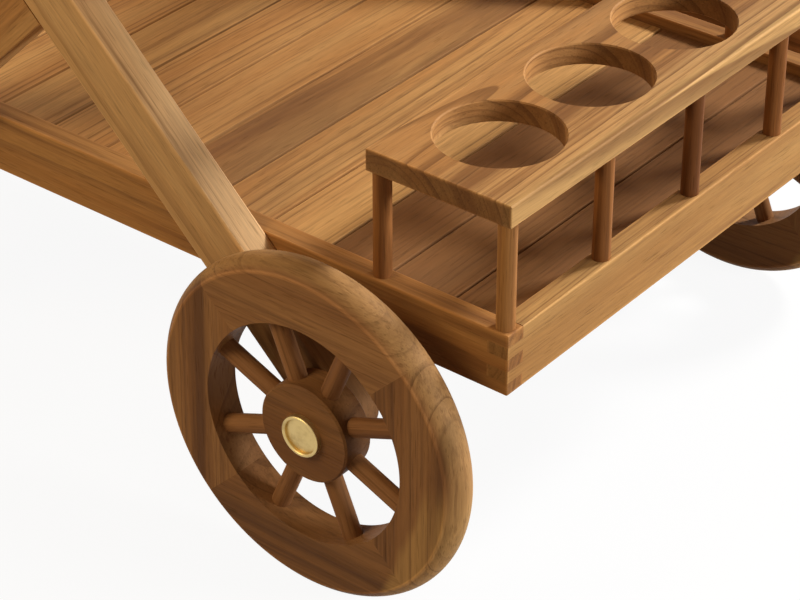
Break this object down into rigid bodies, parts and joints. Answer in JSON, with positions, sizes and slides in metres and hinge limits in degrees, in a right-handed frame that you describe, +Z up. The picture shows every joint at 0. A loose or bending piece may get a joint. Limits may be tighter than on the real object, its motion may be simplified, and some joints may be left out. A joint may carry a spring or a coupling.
{
  "type": "serving trolley",
  "caption": "Slatted two-tier wooden serving trolley with crossed side frames, large spoked wheels at one end, a push handle and a bottle holder over the wheels.",
  "frame": {"origin": "on the ground, under the centre of the trolley's outer box", "axes": "+X towards the wheels and the bottle holder, -X towards the handle, +Z up, +Y across"},
  "size_m": [0.878, 0.607, 0.8535],
  "materials": {
    "rail_teak": "oiled teak, satin",
    "floor_teak": "oiled teak, satin",
    "holder_teak": "oiled teak, satin",
    "frame_teak": "oiled teak, satin",
    "wheel_teak": "oiled teak, satin, darker",
    "brass": "lacquered brass",
    "steel": "zinc-plated"
  },
  "bodies": {
    "frame": {"lower_rail_right": "rail_teak", "lower_rail_left": "rail_teak", "lower_rail_bottle_end": "rail_teak", "lower_rail_handle_end": "rail_teak", "lower_ledger_right": "floor_teak", "lower_ledger_left": "floor_teak", "lower_floor_boards": "floor_teak", "upper_rail_right": "rail_teak", "upper_rail_left": "rail_teak", "upper_rail_bottle_end": "rail_teak", "upper_rail_handle_end": "rail_teak", "upper_ledger_right": "floor_teak", "upper_ledger_left": "floor_teak", "upper_floor_boards": "floor_teak", "holder_plank": "holder_teak", "corner_post_right": "holder_teak", "corner_post_left": "holder_teak", "middle_post_1": "holder_teak", "middle_post_2": "holder_teak", "middle_post_3": "holder_teak", "back_post_right": "holder_teak", "back_post_left": "holder_teak", "beam_right": "frame_teak", "beam_left": "frame_teak", "leg_right": "frame_teak", "leg_left": "frame_teak", "handle_bar": "frame_teak", "crossing_bolt_right": "brass", "crossing_bolt_left": "brass", "lower_tray_bolts": "steel", "upper_tray_bolts": "steel", "axle": "steel", "thrust_washer_right": "brass", "thrust_washer_left": "brass", "axle_nut_right": "steel", "axle_nut_left": "steel"},
    "right_wheel": {"right_wheel_felloe_1": "wheel_teak", "right_wheel_felloe_2": "wheel_teak", "right_wheel_felloe_3": "wheel_teak", "right_wheel_felloe_4": "wheel_teak", "right_wheel_spokes": "wheel_teak", "right_wheel_hub": "wheel_teak", "right_wheel_bush": "brass", "right_wheel_cap": "brass"},
    "left_wheel": {"left_wheel_felloe_1": "wheel_teak", "left_wheel_felloe_2": "wheel_teak", "left_wheel_felloe_3": "wheel_teak", "left_wheel_felloe_4": "wheel_teak", "left_wheel_spokes": "wheel_teak", "left_wheel_hub": "wheel_teak", "left_wheel_bush": "brass", "left_wheel_cap": "brass"}
  },
  "joints": [
    {"name": "right_wheel_spin", "type": "hinge", "parent": "frame", "child": "right_wheel", "pos_m": [0.29951, -0.285, 0.14], "axis": [0, 1, 0], "continuous": true},
    {"name": "left_wheel_spin", "type": "hinge", "parent": "frame", "child": "left_wheel", "pos_m": [0.29951, 0.285, 0.14], "axis": [0, 1, 0], "continuous": true}
  ]
}
